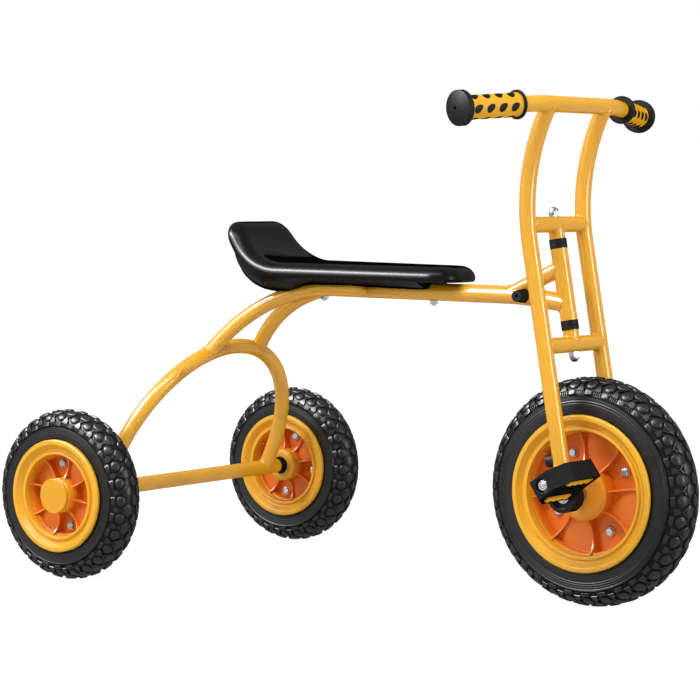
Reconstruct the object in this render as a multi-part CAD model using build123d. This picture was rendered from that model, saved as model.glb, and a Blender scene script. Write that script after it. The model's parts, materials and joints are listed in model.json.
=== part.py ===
"""Kindergarten tricycle with a direct-drive front wheel.

Millimetres. +X is forward, +Y is the rider's left, +Z is up. The origin is on the floor, under the middle
of the tricycle. Steering pieces are modelled in the fork's own frame, whose +Z is the steering axis.
"""
import os
from math import atan2, cos, degrees, radians, sin, sqrt

from build123d import *

# Stance
wheelbase = 724.0
rear_track = 545.0
rake_deg = 10.5

# Tubes and fits
leg_r = 11.25
bar_r = 11.1
cross_r = 11.0
backbone_r = 12.7
axle_tube_r = 11.25
hoop_tube_r = 11.1
branch_r = 11.0
gusset_r = 11.0
axle_r = 6.0
running_gap = 0.05
seat_gap = 0.3
overrun = 4.0

# Wheels, and what their moulded rims share
rear_r = 124.5
rear_tyre_half = 28.0
rear_shoulder_r = 100.0
rear_bead_r = 74.0
rear_rim_r = 82.0
rear_rim_half = 35.0
rear_boss_r = 25.5
rear_bolt_circle_r = 46.0
rear_boss_drop = 2.0
rear_cap_t = 4.0
rear_recess_r = 14.0
rear_recess = 2.0
front_r = 160.0
front_tyre_half = 34.0
front_shoulder_r = 129.0
front_bead_r = 101.0
front_rim_r = 109.3
front_rim_half = 40.3
front_boss_r = 38.0
front_boss_half = 35.0
front_bolt_circle_r = 61.0
boss_round = 4.0
bead_bevel = 4.0
bead_foot = 8.0
rim_edge_round = 2.0
rim_band_flat = 5.0
rim_band_w = 13.5
rim_groove_w = 3.5
rim_groove_depth = 8.5
rim_lip_w = 4.5
rim_lip_drop = 5.0
dish_wall_in = 1.5
dish_ledge_drop = 18.0
dish_ledge_w = 2.0
floor_low = 4.0
floor_high = 10.0
rib_count = 8
rib_t = 2.2
rib_end_drop = 12.0
rib_low = 14.0
bolt_count = 4
bolt_boss_r = 8.0
bolt_boss_h = 2.0
bolt_seat_r = 6.3
front_bolt_deg = 30.0
rear_right_bolt_deg = 10.0
rear_left_bolt_deg = -11.0

# Fork and head
leg_y = 74.5
leg_bend_start = 351.0
upper_cross_s = 375.0
lower_cross_s = 206.5
head_tube_low = 240.0
head_tube_high = 341.0
head_tube_r = 11.8
head_bore_r = 8.5
race_r = 12.2
steer_bolt_r = 5.0
ring_h = 13.4
nut_r = 8.0
nut_h = 7.0
nut_dome_r = 7.0
leg_socket_r = 9.0
leg_socket_foot = 18.0
leg_socket_depth = 40.0
plug_r = 9.0
plug_out = 9.0
plug_s = 51.0

# Bearing housings at the fork ends
housing_r = 22.0
housing_in = 63.0
housing_out = 76.0
housing_clear = 1.0
spacer_r = 10.0
axle_washer_r = 9.0
axle_washer_t = 2.0

# Handlebar and grips
bar_forward = 62.4
bar_rise = 531.5
bar_bend_y = 100.0
bar_bend_r = 120.0
bar_sweep = 39.1
bar_drop = 2.7
bar_half = 238.0
grip_start = 138.0
grip_flange_r = 20.0
grip_flange_t = 4.0
grip_sleeve_r = 16.2
grip_end_r = 24.0
grip_end_t = 11.0
grip_end_dome = 4.0
grip_round = 1.5
grip_hole_r = 2.5
grip_hole_depth = 3.0

# Frame
backbone_z = 428.0
backbone_rear = 190.0
kink_setback = 124.0
backbone_kink_r = 300.0
backbone_head_s = 264.0
gusset_setback = 143.0
gusset_head_s = 314.0
hoop_tilt_deg = 24.0
hoop_r = 197.0
hoop_leg = 31.0
branch_front = 330.0
branch_bend = 291.0
branch_spread = 60.0
axle_tube_half = 226.0
collar_r = 10.0
bumper_setback = 112.0
bumper_base_r = 11.0
bumper_tip_r = 8.0
bumper_out = 30.0
bumper_hole_r = 2.5
bumper_hole_depth = 6.0

# Seat
seat_rear = 117.0
seat_nose = 508.0
seat_rear_half = 82.0
seat_front_half = 48.0
seat_waist_round = 200.0
seat_nose_corner = 36.0
seat_top = 466.0
seat_t = 20.0
seat_edge_round = 7.0
seat_under_round = 3.0
lip_foot = 217.0
lip_bend_r = 86.0
lip_deg = 70.0
lip_round = 3.0
lip_corner = 35.0
base_inset = 5.0
base_corner = 45.0
base_front = 446.0
base_front_slant = 11.0
base_bottom = 419.0
base_front_bottom = 430.0
base_bottom_half = 34.0
base_tail_deg = 45.0
base_tail_sag = 9.0
base_tail_foot = 182.0
base_saddle_start = 222.0
base_saddle_end = 250.0

# Cranks and pedals
crank_r = 48.0
crank_deg = 37.5
crank_in = 76.5
crank_out = 88.0
crank_boss_r = 22.0
crank_round = 2.0
crank_recess_r = 16.0
crank_recess = 7.0
crank_arm_gap = 1.5
crank_arm_t = 8.0
crank_root_r = 12.5
crank_eye_r = 9.5
crank_collar_r = 8.0
crank_collar_out = 101.0
pedal_in = 102.0
pedal_out = 200.0
pedal_width = 62.0
pedal_inner_width = 60.0
pedal_end_width = 30.0
pedal_taper = 30.0
pedal_t = 27.0
pedal_wall = 3.5
pedal_bend_r = 12.0
pedal_pitch_deg = 36.0
pedal_pin_r = 5.0
pedal_barrel_r = 8.5
pedal_rail_in = 15.5
pedal_rail_t = 22.0
pedal_end_block = 15.0
pedal_nut_r = 9.5
pedal_nut_depth = 7.0
strip_w = 8.0
strip_l = 58.0
strip_t = 2.0
strip_lobe = 1.5
strip_lobes = 4
strip_centre = 20.5
strip_shift = 7.0

rear_x = -(wheelbase + front_r - rear_r) / 2
front_x = rear_x + wheelbase
rake = radians(rake_deg)
fork_frame = Plane(
    origin=(front_x, 0, front_r),
    x_dir=(cos(rake), 0, sin(rake)),
    z_dir=(-sin(rake), 0, cos(rake)),
)
SIDES = (("right", -1), ("left", 1))

rear_wheel = {
    "outer": rear_r,
    "tyre_half": rear_tyre_half,
    "shoulder": rear_shoulder_r,
    "bead": rear_bead_r,
    "rim_r": rear_rim_r,
    "rim_half": rear_rim_half,
    "boss_r": rear_boss_r,
    "bolt_circle_r": rear_bolt_circle_r,
}
front_wheel = {
    "outer": front_r,
    "tyre_half": front_tyre_half,
    "shoulder": front_shoulder_r,
    "bead": front_bead_r,
    "rim_r": front_rim_r,
    "rim_half": front_rim_half,
    "boss_r": front_boss_r,
    "bolt_circle_r": front_bolt_circle_r,
}


def rod(start, end, radius):
    """Round bar between two points."""
    run = Vector(*end) - Vector(*start)
    bar = Cylinder(radius, run.length, align=(Align.CENTER, Align.CENTER, Align.MIN))
    return Plane(origin=start, z_dir=run) * bar


def cross_rod(x, z, y_start, y_end, radius):
    """Round bar parallel to Y."""
    return rod((x, y_start, z), (x, y_end, z), radius)


def bent_tube(path, radius):
    """Bar of round section along a path of lines and arcs."""
    section = Plane(origin=path @ 0, z_dir=path % 0) * Circle(radius)
    return sweep(section, path=path)


def outline(points, arcs=()):
    """Closed face through points. arcs pairs a corner's number with the middle point of the arc after it."""
    middles = dict(arcs)
    edges = []
    for i, start in enumerate(points):
        end = points[(i + 1) % len(points)]
        if i in middles:
            edges.append(ThreePointArc(start, middles[i], end))
        else:
            edges.append(Line(start, end))
    return make_face(edges)


def turned(points, arcs=()):
    """Solid turned about Y from an outline of radius and width."""
    return revolve(outline(points, arcs), Axis.Y)


def turned_along(points, start, way, arcs=()):
    """Solid turned about the line from start along way. Points are radius and distance along it."""
    return Plane(origin=start, z_dir=way) * Rot(90, 0, 0) * turned(points, arcs)


def around_wheel(shape, degree):
    """Turns a piece about the wheel's axle, forwards to up."""
    return Rot(0, -degree, 0) * shape


def in_fork(shape):
    """Places a piece modelled in the fork's frame."""
    return fork_frame * shape


def fork_point(forward, y, up):
    """A point given in the fork's frame, in the tricycle's frame."""
    return fork_frame.from_local_coords((forward, y, up))


def largest(shape):
    """The largest solid of a cut piece, without the crumbs."""
    return shape.solids().sort_by(SortBy.VOLUME)[-1]


def tyre(wheel):
    """Tyre section: flat on the rim, upright lower sidewalls, round crown."""
    bead = wheel["bead"]
    half = wheel["tyre_half"]
    points = [
        (bead, -half + bead_bevel),
        (bead + bead_foot, -half),
        (wheel["shoulder"], -half),
        (wheel["shoulder"], half),
        (bead + bead_foot, half),
        (bead, half - bead_bevel),
    ]
    return turned(points, arcs=[(2, (wheel["outer"], 0))])


def rim_half(wheel, boss_half, bore_r, bolt_deg):
    """One moulded half of a rim, its outer face towards +Y: bead band, groove, lip, ribbed dish and boss."""
    edge = wheel["rim_half"]
    rim_r = wheel["rim_r"]
    boss_r = wheel["boss_r"]
    seat_r = wheel["bead"] - seat_gap
    flange = wheel["tyre_half"] + seat_gap
    groove_r = rim_r - rim_band_w
    lip_out = groove_r - rim_groove_w
    lip_in = lip_out - rim_lip_w
    ledge_r = lip_in - dish_wall_in
    floor_r = ledge_r - dish_ledge_w
    groove = edge - rim_groove_depth
    lip = edge - rim_lip_drop
    ledge = edge - dish_ledge_drop
    half = turned(
        [
            (bore_r, 0),
            (seat_r, 0),
            (seat_r, flange - bead_bevel),
            (seat_r + bead_foot, flange),
            (rim_r, flange),
            (rim_r, edge - rim_edge_round),
            (rim_r - rim_edge_round, edge),
            (rim_r - rim_band_flat - rim_edge_round, edge),
            (groove_r, groove),
            (lip_out, groove),
            (lip_out - rim_edge_round / 2, lip),
            (lip_in, lip),
            (ledge_r, ledge),
            (floor_r, ledge),
            (floor_r - dish_wall_in, floor_low),
            (boss_r, floor_low),
            (boss_r, boss_half - boss_round),
            (boss_r - boss_round, boss_half),
            (bore_r, boss_half),
        ]
    )
    pitch = 360 / rib_count
    raised = outline(
        [
            (boss_r - rib_t, floor_low - rib_t),
            (floor_r, floor_low - rib_t),
            (floor_r, floor_high),
            (boss_r - rib_t, floor_high),
        ]
    )
    rib_top = edge - rib_end_drop
    rib_span = outline(
        [
            (boss_r - rib_t, floor_low - rib_t),
            (ledge_r, floor_low - rib_t),
            (ledge_r, rib_top),
            (boss_r - rib_t, rib_top),
        ],
        arcs=[(2, ((boss_r + ledge_r) / 2, rib_low))],
    )
    rib = extrude(rib_span, amount=rib_t / 2, both=True)
    sector = around_wheel(revolve(raised, Axis.Y, pitch), pitch)
    circle_r = wheel["bolt_circle_r"]
    boss = Pos(circle_r, 0, 0) * turned(
        [
            (bolt_seat_r, floor_low - rib_t),
            (bolt_boss_r, floor_low - rib_t),
            (bolt_boss_r, floor_low + bolt_boss_h),
            (bolt_seat_r, floor_low + bolt_boss_h),
        ]
    )
    for i in range(rib_count):
        half += around_wheel(rib, bolt_deg + pitch * (i + 1 / 2))
    for i in range(bolt_count):
        turn = bolt_deg + i * 360 / bolt_count
        half += around_wheel(sector, turn + pitch / 2)
        half += around_wheel(boss, turn)
    return half


parts = {}

# Rear wheels: tyre, two rim halves and the cap that closes the hub
rear_boss_face = rear_rim_half - rear_boss_drop
cap_points = [
    (0, rear_boss_face),
    (rear_boss_r, rear_boss_face),
    (rear_boss_r, rear_boss_face + rear_cap_t - rim_edge_round / 2),
    (rear_boss_r - rim_edge_round / 2, rear_boss_face + rear_cap_t),
    (0, rear_boss_face + rear_cap_t),
]
recess = turned(
    [
        (0, rear_rim_half - rear_recess),
        (rear_recess_r, rear_rim_half - rear_recess),
        (rear_recess_r, rear_rim_half + overrun),
        (0, rear_rim_half + overrun),
    ]
)
rear_bolt_degs = {"right": rear_right_bolt_deg, "left": rear_left_bolt_deg}
rear_bore = axle_r + running_gap
for name, side in SIDES:
    bolt_deg = rear_bolt_degs[name]
    outer_half = rim_half(rear_wheel, rear_boss_face, rear_bore, bolt_deg)
    inner_half = rim_half(rear_wheel, rear_rim_half, rear_bore, bolt_deg) - recess
    cap = turned(cap_points)
    if side < 0:
        outer_half = mirror(outer_half, about=Plane.XZ)
        cap = mirror(cap, about=Plane.XZ)
    else:
        inner_half = mirror(inner_half, about=Plane.XZ)
    place = Pos(rear_x, side * rear_track / 2, rear_r)
    parts[f"rear_tyre_{name}"] = place * tyre(rear_wheel)
    parts[f"rear_rim_outer_{name}"] = place * outer_half
    parts[f"rear_rim_inner_{name}"] = place * inner_half
    parts[f"rear_hub_cap_{name}"] = place * cap

# Front wheel: tyre and two rim halves pressed on the axle
front_place = Pos(front_x, 0, front_r)
front_half = rim_half(front_wheel, front_boss_half, axle_r, front_bolt_deg)
parts["front_tyre"] = front_place * tyre(front_wheel)
parts["front_rim_left"] = front_place * front_half
parts["front_rim_right"] = front_place * mirror(front_half, about=Plane.XZ)

# Rear axle with its tube and collars
axle_reach = rear_track / 2 + rear_boss_face - rear_boss_drop
axle_tube = cross_rod(rear_x, rear_r, -axle_tube_half, axle_tube_half, axle_tube_r)
axle_hole = cross_rod(rear_x, rear_r, -axle_reach, axle_reach, axle_r + running_gap)
parts["rear_axle"] = cross_rod(rear_x, rear_r, -axle_reach, axle_reach, axle_r)
parts["rear_axle_tube"] = axle_tube - axle_hole
collars = []
for name, side in SIDES:
    collar_start = side * (axle_tube_half + seat_gap)
    collar_end = side * (rear_track / 2 - rear_rim_half + rear_recess - seat_gap)
    collars.append(cross_rod(rear_x, rear_r, collar_start, collar_end, collar_r) - axle_hole)
parts["axle_collars"] = Compound(collars)

# Hoop over the axle tube, tilted forwards
hoop_tilt = radians(hoop_tilt_deg)
hoop_plane = Plane(
    origin=(rear_x, 0, rear_r),
    x_dir=(0, 1, 0),
    z_dir=(cos(hoop_tilt), 0, -sin(hoop_tilt)),
)
hoop_line = Wire(
    [
        Line((-hoop_r, 0), (-hoop_r, hoop_leg)),
        CenterArc((0, hoop_leg), hoop_r, 180, -180),
        Line((hoop_r, hoop_leg), (hoop_r, 0)),
    ]
)
hoop = bent_tube(hoop_plane * hoop_line, hoop_tube_r)
parts["rear_hoop"] = hoop - axle_tube


def hoop_point(y):
    """Point on the centre line of the hoop's round part, at a given Y."""
    up = hoop_leg + sqrt(hoop_r**2 - y**2)
    return Vector(rear_x, y, rear_r) + hoop_plane.y_dir * up


# Head tube, backbone and gusset
head_low = fork_point(0, 0, head_tube_low)
head_top = fork_point(0, 0, head_tube_high)
head_solid = rod(head_low, head_top, head_tube_r)
bore_low = fork_point(0, 0, head_tube_low - overrun)
bore_top = fork_point(0, 0, head_tube_high + overrun)
parts["head_tube"] = head_solid - rod(bore_low, bore_top, head_bore_r)

backbone_kink = wheelbase - kink_setback
backbone_start = (rear_x + backbone_rear, 0, backbone_z)
backbone_line = FilletPolyline(
    backbone_start,
    (rear_x + backbone_kink, 0, backbone_z),
    fork_point(0, 0, backbone_head_s),
    radius=backbone_kink_r,
)
backbone = bent_tube(backbone_line, backbone_r) - head_solid
parts["backbone_tube"] = backbone

gusset_start = (front_x - gusset_setback, 0, backbone_z)
gusset = rod(gusset_start, fork_point(0, 0, gusset_head_s), gusset_r) - head_solid - backbone
parts["gusset_tube"] = largest(gusset)

# Branch tubes: beside the backbone, then one bend down and outwards to the hoop
branch_lines = {}
for name, side in SIDES:
    start_y = side * (backbone_r + branch_r + seat_gap)
    joint = hoop_point(side * branch_spread)
    level = Vector(rear_x + branch_bend, start_y, backbone_z)
    drop = Vector(0, joint.Y - start_y, joint.Z - backbone_z)
    run = level.X - joint.X
    bend_r = (run**2 + drop.length**2) / (2 * drop.length)
    half_turn = atan2(run, bend_r - drop.length) / 2
    sag = drop.normalized() * (bend_r * (1 - cos(half_turn)))
    middle = level - Vector(bend_r * sin(half_turn), 0, 0) + sag
    line = Wire(
        [
            Line((rear_x + branch_front, start_y, backbone_z), level),
            ThreePointArc(level, middle, joint),
        ]
    )
    branch_lines[name] = line
    parts[f"branch_tube_{name}"] = largest(bent_tube(line, branch_r) - hoop)

# Rubber cones that stop the fork legs
bumpers = []
for name, side in SIDES:
    start = (front_x - bumper_setback, 0, backbone_z)
    tip = bumper_out - bumper_hole_depth
    cone = turned_along(
        [
            (0, 0),
            (bumper_base_r, 0),
            (bumper_tip_r, bumper_out),
            (bumper_hole_r, bumper_out),
            (bumper_hole_r, tip),
            (0, tip),
        ],
        start,
        (0, side, 0),
    )
    bumpers.append(cone - backbone - gusset)
parts["steering_bumpers"] = Compound(bumpers)

# Head bearings: a fixed bush and a turning race at each end of the head tube
bush_h = ring_h / 2
bushes = []
races = []
for way, end in ((-1, head_tube_low), (1, head_tube_high)):
    inner_end = (0, 0, end - way * ring_h)
    split = end + way * (bush_h - seat_gap / 2)
    outer_end = (0, 0, end + way * ring_h)
    hole_start = (0, 0, end - way * (ring_h + overrun))
    hole_end = (0, 0, end + way * (ring_h + overrun))
    flange = rod((0, 0, end), (0, 0, split), race_r)
    sleeve = rod((0, 0, end), inner_end, head_bore_r)
    bushes.append(in_fork(flange + sleeve - rod(hole_start, hole_end, steer_bolt_r + running_gap)))
    race = rod((0, 0, split + way * seat_gap), outer_end, race_r)
    races.append(in_fork(race - rod(hole_start, hole_end, steer_bolt_r)))
parts["head_bushes"] = Compound(bushes)
parts["head_races"] = Compound(races)

# Handlebar
bar_line = FilletPolyline(
    (bar_forward - bar_sweep, -bar_half, bar_rise - bar_drop),
    (bar_forward, -bar_bend_y, bar_rise),
    (bar_forward, bar_bend_y, bar_rise),
    (bar_forward - bar_sweep, bar_half, bar_rise - bar_drop),
    radius=bar_bend_r,
)
bar = bent_tube(bar_line, bar_r)
parts["handlebar"] = in_fork(bar)

# Fork legs: straight up from the wheel, then one bend forwards to the handlebar
leg_rise = bar_rise - leg_bend_start
leg_bend_r = (leg_rise**2 + bar_forward**2) / (2 * bar_forward)
leg_half_turn = atan2(leg_rise, leg_bend_r - bar_forward) / 2
leg_mid_x = leg_bend_r * (1 - cos(leg_half_turn))
leg_mid_z = leg_bend_start + leg_bend_r * sin(leg_half_turn)
socket_top = housing_r + leg_socket_depth
legs = {}
plugs = []
for name, side in SIDES:
    y = side * leg_y
    line = Wire(
        [
            Line((0, y, 0), (0, y, leg_bend_start)),
            ThreePointArc((0, y, leg_bend_start), (leg_mid_x, y, leg_mid_z), (bar_forward, y, bar_rise)),
        ]
    )
    eye = rod((0, side * (housing_in - overrun), 0), (0, side * housing_out, 0), housing_r)
    spigot = rod((0, y, leg_socket_foot), (0, y, socket_top), leg_socket_r)
    swept = rod((0, side * housing_out, 0), (0, side * (crank_out + overrun), 0), housing_r + housing_clear)
    legs[name] = largest(bent_tube(line, leg_r) - eye - swept - spigot - bar)
    parts[f"fork_leg_{name}"] = in_fork(legs[name])
    housing = rod((0, side * housing_in, 0), (0, side * housing_out, 0), housing_r)
    bore = rod((0, 0, 0), (0, side * (housing_out + overrun), 0), axle_r + running_gap)
    parts[f"bearing_housing_{name}"] = in_fork(largest(housing + spigot - swept - bore))
    plug = rod((0, y, plug_s), (-leg_r - plug_out, y, plug_s), plug_r)
    plugs.append(in_fork(largest(plug - legs[name] - spigot)))
parts["leg_plugs"] = Compound(plugs)

# Crosspieces with the stubs that carry the head bearings
for name, way, s, end in (
    ("lower", 1, lower_cross_s, head_tube_low - ring_h),
    ("upper", -1, upper_cross_s, head_tube_high + ring_h),
):
    beam = rod((0, -leg_y, s), (0, leg_y, s), cross_r)
    stub = rod((0, 0, s), (0, 0, end), cross_r)
    hole = rod((0, 0, s - way * (cross_r + overrun)), (0, 0, end + way * overrun), steer_bolt_r)
    parts[f"crosspiece_{name}"] = in_fork(largest(beam + stub - hole - legs["right"] - legs["left"]))

# Steering bolt with a domed nut at each end
bolt_low = lower_cross_s - cross_r
bolt_high = upper_cross_s + cross_r
bolt = rod((0, 0, bolt_low - nut_h), (0, 0, bolt_high + nut_h), steer_bolt_r)
for way, s in ((-1, bolt_low), (1, bolt_high)):
    hexagon = Plane(origin=(0, 0, s), z_dir=(0, 0, way)) * RegularPolygon(nut_r, 6)
    bolt += extrude(hexagon, amount=nut_h, dir=(0, 0, way))
    bolt += Pos(0, 0, s + way * nut_h) * Sphere(nut_dome_r)
parts["steering_bolt"] = in_fork(bolt)

# Grips: inner flange, sleeve and domed end, over the bar's straight ends
for name, side in SIDES:
    end = Vector(bar_forward - bar_sweep, side * bar_half, bar_rise - bar_drop)
    bend = Vector(bar_forward, side * bar_bend_y, bar_rise)
    along = (end - bend).normalized()
    inner = bend + along * ((grip_start - bar_bend_y) / abs(along.Y))
    hole = bar_r + running_gap
    flange = turned_along(
        [
            (hole, 0),
            (grip_flange_r - grip_round, 0),
            (grip_flange_r, grip_round),
            (grip_flange_r, grip_flange_t),
            (hole, grip_flange_t),
        ],
        inner,
        along,
    )
    cap_start = end - along * (grip_end_t / 2)
    cap_crown = grip_end_t + grip_end_dome
    crown_r = (grip_end_r + grip_hole_r) / 2
    cap = turned_along(
        [
            (hole, 0),
            (grip_end_r - grip_round, 0),
            (grip_end_r, grip_round),
            (grip_end_r, grip_end_t - grip_round),
            (grip_hole_r, cap_crown),
            (grip_hole_r, cap_crown - grip_hole_depth),
            (0, cap_crown - grip_hole_depth),
            (0, grip_end_t / 2 + seat_gap),
            (hole, grip_end_t / 2 + seat_gap),
        ],
        cap_start,
        along,
        arcs=[(3, (crown_r, cap_crown - grip_round))],
    )
    flange_end = inner + along * grip_flange_t
    shaft = rod(bend, end + along * grip_end_t, hole)
    parts[f"grip_ends_{name}"] = in_fork(Compound([flange, cap]))
    parts[f"grip_sleeve_{name}"] = in_fork(rod(flange_end, cap_start, grip_sleeve_r) - shaft)

# Front axle with its spacers and the washers that hold the cranks
recess_floor = crank_out - crank_recess
axle_end = crank_out - axle_washer_t
axle = cross_rod(front_x, front_r, -axle_end, axle_end, axle_r)
for name, side in SIDES:
    spacer_end = side * (housing_in - seat_gap)
    washer_end = side * (recess_floor + axle_washer_t)
    axle += cross_rod(front_x, front_r, side * front_boss_half, spacer_end, spacer_r)
    axle += cross_rod(front_x, front_r, side * recess_floor, washer_end, axle_washer_r)
parts["front_axle"] = axle


def pedal_body(side):
    """Pedal frame round its pin: tapered outer end, two rails for the tread strips, barrel and nut seat."""
    half_l = (pedal_out - pedal_in) / 2
    bend_y = -half_l + pedal_taper
    corners = [
        (pedal_end_width / 2, -half_l),
        (pedal_width / 2, bend_y),
        (pedal_inner_width / 2, half_l),
        (-pedal_inner_width / 2, half_l),
        (-pedal_width / 2, bend_y),
        (-pedal_end_width / 2, -half_l),
    ]
    shape = outline(corners)
    bends = shape.vertices().group_by(Axis.Y)[1]
    shape = fillet(bends, pedal_bend_r)
    solid = extrude(shape, amount=pedal_t / 2, both=True)
    inside = extrude(offset(shape, -pedal_wall, kind=Kind.INTERSECTION), amount=pedal_t, both=True)
    frame = solid - inside
    rails = extrude(shape, amount=pedal_rail_t / 2, both=True)
    rails -= Box(pedal_rail_in * 2, half_l * 2, pedal_t)
    end_block = solid & Pos(0, -half_l, 0) * Box(pedal_width, pedal_end_block * 2, pedal_t)
    barrel = rod((0, -half_l, 0), (0, half_l, 0), pedal_barrel_r)
    body = frame + rails + end_block + barrel
    body -= rod((0, -half_l - overrun, 0), (0, half_l + overrun, 0), pedal_pin_r + running_gap)
    body -= rod((0, -half_l - overrun, 0), (0, -half_l + pedal_nut_depth, 0), pedal_nut_r)
    return body if side < 0 else mirror(body, about=Plane.XZ)


def tread_strip():
    """Tread strip with a row of round lobes along its top."""
    start = -strip_l / 2
    pitch = strip_l / strip_lobes
    points = [(start, 0), (start, strip_t)]
    points += [(start + pitch * (i + 1), strip_t) for i in range(strip_lobes)]
    points += [(strip_l / 2, 0)]
    crests = [(i + 1, (start + pitch * (i + 1 / 2), strip_t + strip_lobe)) for i in range(strip_lobes)]
    return extrude(Plane.YZ * outline(points, crests), amount=strip_w / 2, both=True)


# Cranks, pedal pins and pedals, half a turn apart
crank_arm_in = leg_y + leg_r + crank_arm_gap
pins = []
for name, side in SIDES:
    angle = radians(crank_deg) if side < 0 else radians(crank_deg + 180)
    pin_x = front_x + crank_r * cos(angle)
    pin_z = front_r + crank_r * sin(angle)
    arm_in = side * crank_arm_in
    arm_out = side * (crank_arm_in + crank_arm_t)
    boss = turned_along(
        [
            (0, crank_in),
            (crank_boss_r, crank_in),
            (crank_boss_r, crank_out - crank_round),
            (crank_boss_r - crank_round, crank_out),
            (0, crank_out),
        ],
        (front_x, 0, front_r),
        (0, side, 0),
    )
    web = outline(
        [
            (0, -crank_root_r),
            (crank_r, -crank_eye_r),
            (crank_r, crank_eye_r),
            (0, crank_root_r),
        ]
    )
    arm_turn = Rot(0, -degrees(angle), 0)
    deep = arm_turn * extrude(Plane.XZ * web, amount=crank_arm_in + crank_arm_t, both=True)
    disc = cross_rod(front_x, front_r, side * crank_in, arm_out, crank_boss_r)
    root = Pos(front_x, 0, front_r) * deep & disc
    web = extrude(Plane.XZ * web, amount=crank_arm_t / 2, both=True)
    web = Pos(front_x, (arm_in + arm_out) / 2, front_r) * arm_turn * web
    eye = cross_rod(pin_x, pin_z, arm_in, arm_out, crank_eye_r)
    collar = cross_rod(pin_x, pin_z, arm_out, side * crank_collar_out, crank_collar_r)
    hole = cross_rod(front_x, front_r, 0, arm_out, axle_r)
    recess = cross_rod(front_x, front_r, side * recess_floor, arm_out, crank_recess_r)
    pin_hole = cross_rod(pin_x, pin_z, 0, side * (crank_collar_out + overrun), pedal_pin_r)
    parts[f"crank_{name}"] = boss + root + web + eye + collar - hole - recess - pin_hole
    pins.append(cross_rod(pin_x, pin_z, arm_in, side * (pedal_out - pedal_nut_depth / 2), pedal_pin_r))
    place = Pos(pin_x, side * (pedal_in + pedal_out) / 2, pin_z) * Rot(0, -pedal_pitch_deg, 0)
    strips = []
    for across in (-strip_centre, strip_centre):
        for flip in (0, 180):
            lift = pedal_rail_t / 2 + seat_gap
            strip = Pos(across, 0, 0) * Rot(0, flip, 0) * Pos(0, -side * strip_shift, lift) * tread_strip()
            strips.append(strip)
    parts[f"pedal_{name}"] = place * pedal_body(side)
    parts[f"pedal_strips_{name}"] = place * Compound(strips)
parts["pedal_pins"] = Compound(pins)

# Seat: a slab of even thickness, level in front and bent up behind, cut to its plan
seat_plan = outline(
    [
        (rear_x + seat_rear, -seat_rear_half),
        (rear_x + lip_foot, -seat_rear_half),
        (rear_x + seat_nose, -seat_front_half),
        (rear_x + seat_nose, seat_front_half),
        (rear_x + lip_foot, seat_rear_half),
        (rear_x + seat_rear, seat_rear_half),
    ]
)
seat_plan = fillet(seat_plan.vertices().sort_by(Axis.X)[2:4], seat_waist_round)
seat_plan = fillet(seat_plan.vertices().sort_by(Axis.X)[-2:], seat_nose_corner)
bend_x = rear_x + lip_foot
bend_z = seat_top + lip_bend_r


def lip_point(radius, degree):
    """Point round the centre of the seat's rear bend, from straight down towards the rear."""
    return (bend_x - radius * sin(radians(degree)), bend_z - radius * cos(radians(degree)))


def across_seat(face):
    """Extrudes a side view of the seat over its width."""
    return extrude(Plane.XZ * face, amount=seat_rear_half * 2, both=True)


outer_r = lip_bend_r + seat_t
lip_turn = lip_deg + degrees(lip_round / outer_r)
slab = outline(
    [
        (rear_x + seat_nose + overrun, seat_top - seat_t),
        (rear_x + seat_nose + overrun, seat_top),
        (bend_x, seat_top),
        lip_point(lip_bend_r, lip_deg),
        lip_point(outer_r, lip_deg),
        (bend_x, seat_top - seat_t),
    ],
    arcs=[
        (2, lip_point(lip_bend_r, lip_deg / 2)),
        (3, lip_point((lip_bend_r + outer_r) / 2, lip_turn)),
        (4, lip_point(outer_r, lip_deg / 2)),
    ],
)
lip_height = bend_z - lip_bend_r * cos(radians(lip_deg)) + lip_round
front_view = Rectangle(seat_rear_half * 2 + overrun, lip_height, align=(Align.CENTER, Align.MIN))
front_view = fillet(front_view.vertices().sort_by(Axis.Y)[-2:], lip_corner)
seat_block = extrude(seat_plan, amount=lip_height) & across_seat(slab)
seat_block = seat_block & extrude(Plane.YZ * front_view, amount=wheelbase, both=True)


def skin(solid, radius, level):
    """Faces of the seat that lie on its bend of this radius or at this level."""
    round_faces = solid.faces().filter_by(GeomType.CYLINDER)
    level_faces = solid.faces().filter_by(Plane.XY)
    bend = [face for face in round_faces if abs(face.radius - radius) < seat_gap]
    flat = [face for face in level_faces if abs(face.center().Z - level) < seat_gap]
    return bend + flat


def rim_edges(faces):
    """Edges round a group of faces, without the ones between them."""
    edges = [edge for face in faces for edge in face.edges()]
    return [edge for edge in edges if sum(edge.is_same(other) for other in edges) == 1]


seat_shell = fillet(rim_edges(skin(seat_block, lip_bend_r, seat_top)), seat_edge_round)
seat_shell = fillet(rim_edges(skin(seat_shell, outer_r, seat_top - seat_t)), seat_under_round)
parts["seat_shell"] = seat_shell

# Seat base: a shallow bowl under the slab that saddles the backbone and both branch tubes
under_r = outer_r + seat_gap
under_z = seat_top - seat_t - seat_gap
tail = lip_point(under_r, base_tail_deg)
tail_foot = (rear_x + base_tail_foot, base_bottom)
tail_mid = ((tail[0] + tail_foot[0]) / 2 - base_tail_sag, (tail[1] + tail_foot[1]) / 2 - base_tail_sag)
side_view = outline(
    [
        (rear_x + base_front + base_front_slant, under_z),
        (bend_x, under_z),
        tail,
        tail_foot,
        (rear_x + base_saddle_start, base_bottom),
        (rear_x + base_saddle_end, base_front_bottom),
        (rear_x + base_front, base_front_bottom),
    ],
    arcs=[(1, lip_point(under_r, base_tail_deg / 2)), (2, tail_mid)],
)
half_w = seat_rear_half - base_inset
shoulder_z = bend_z - under_r * cos(radians(base_tail_deg))
bowl = outline(
    [
        (-base_bottom_half, base_bottom),
        (base_bottom_half, base_bottom),
        (half_w, under_z),
        (half_w, shoulder_z),
        (-half_w, shoulder_z),
        (-half_w, under_z),
    ]
)
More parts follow.
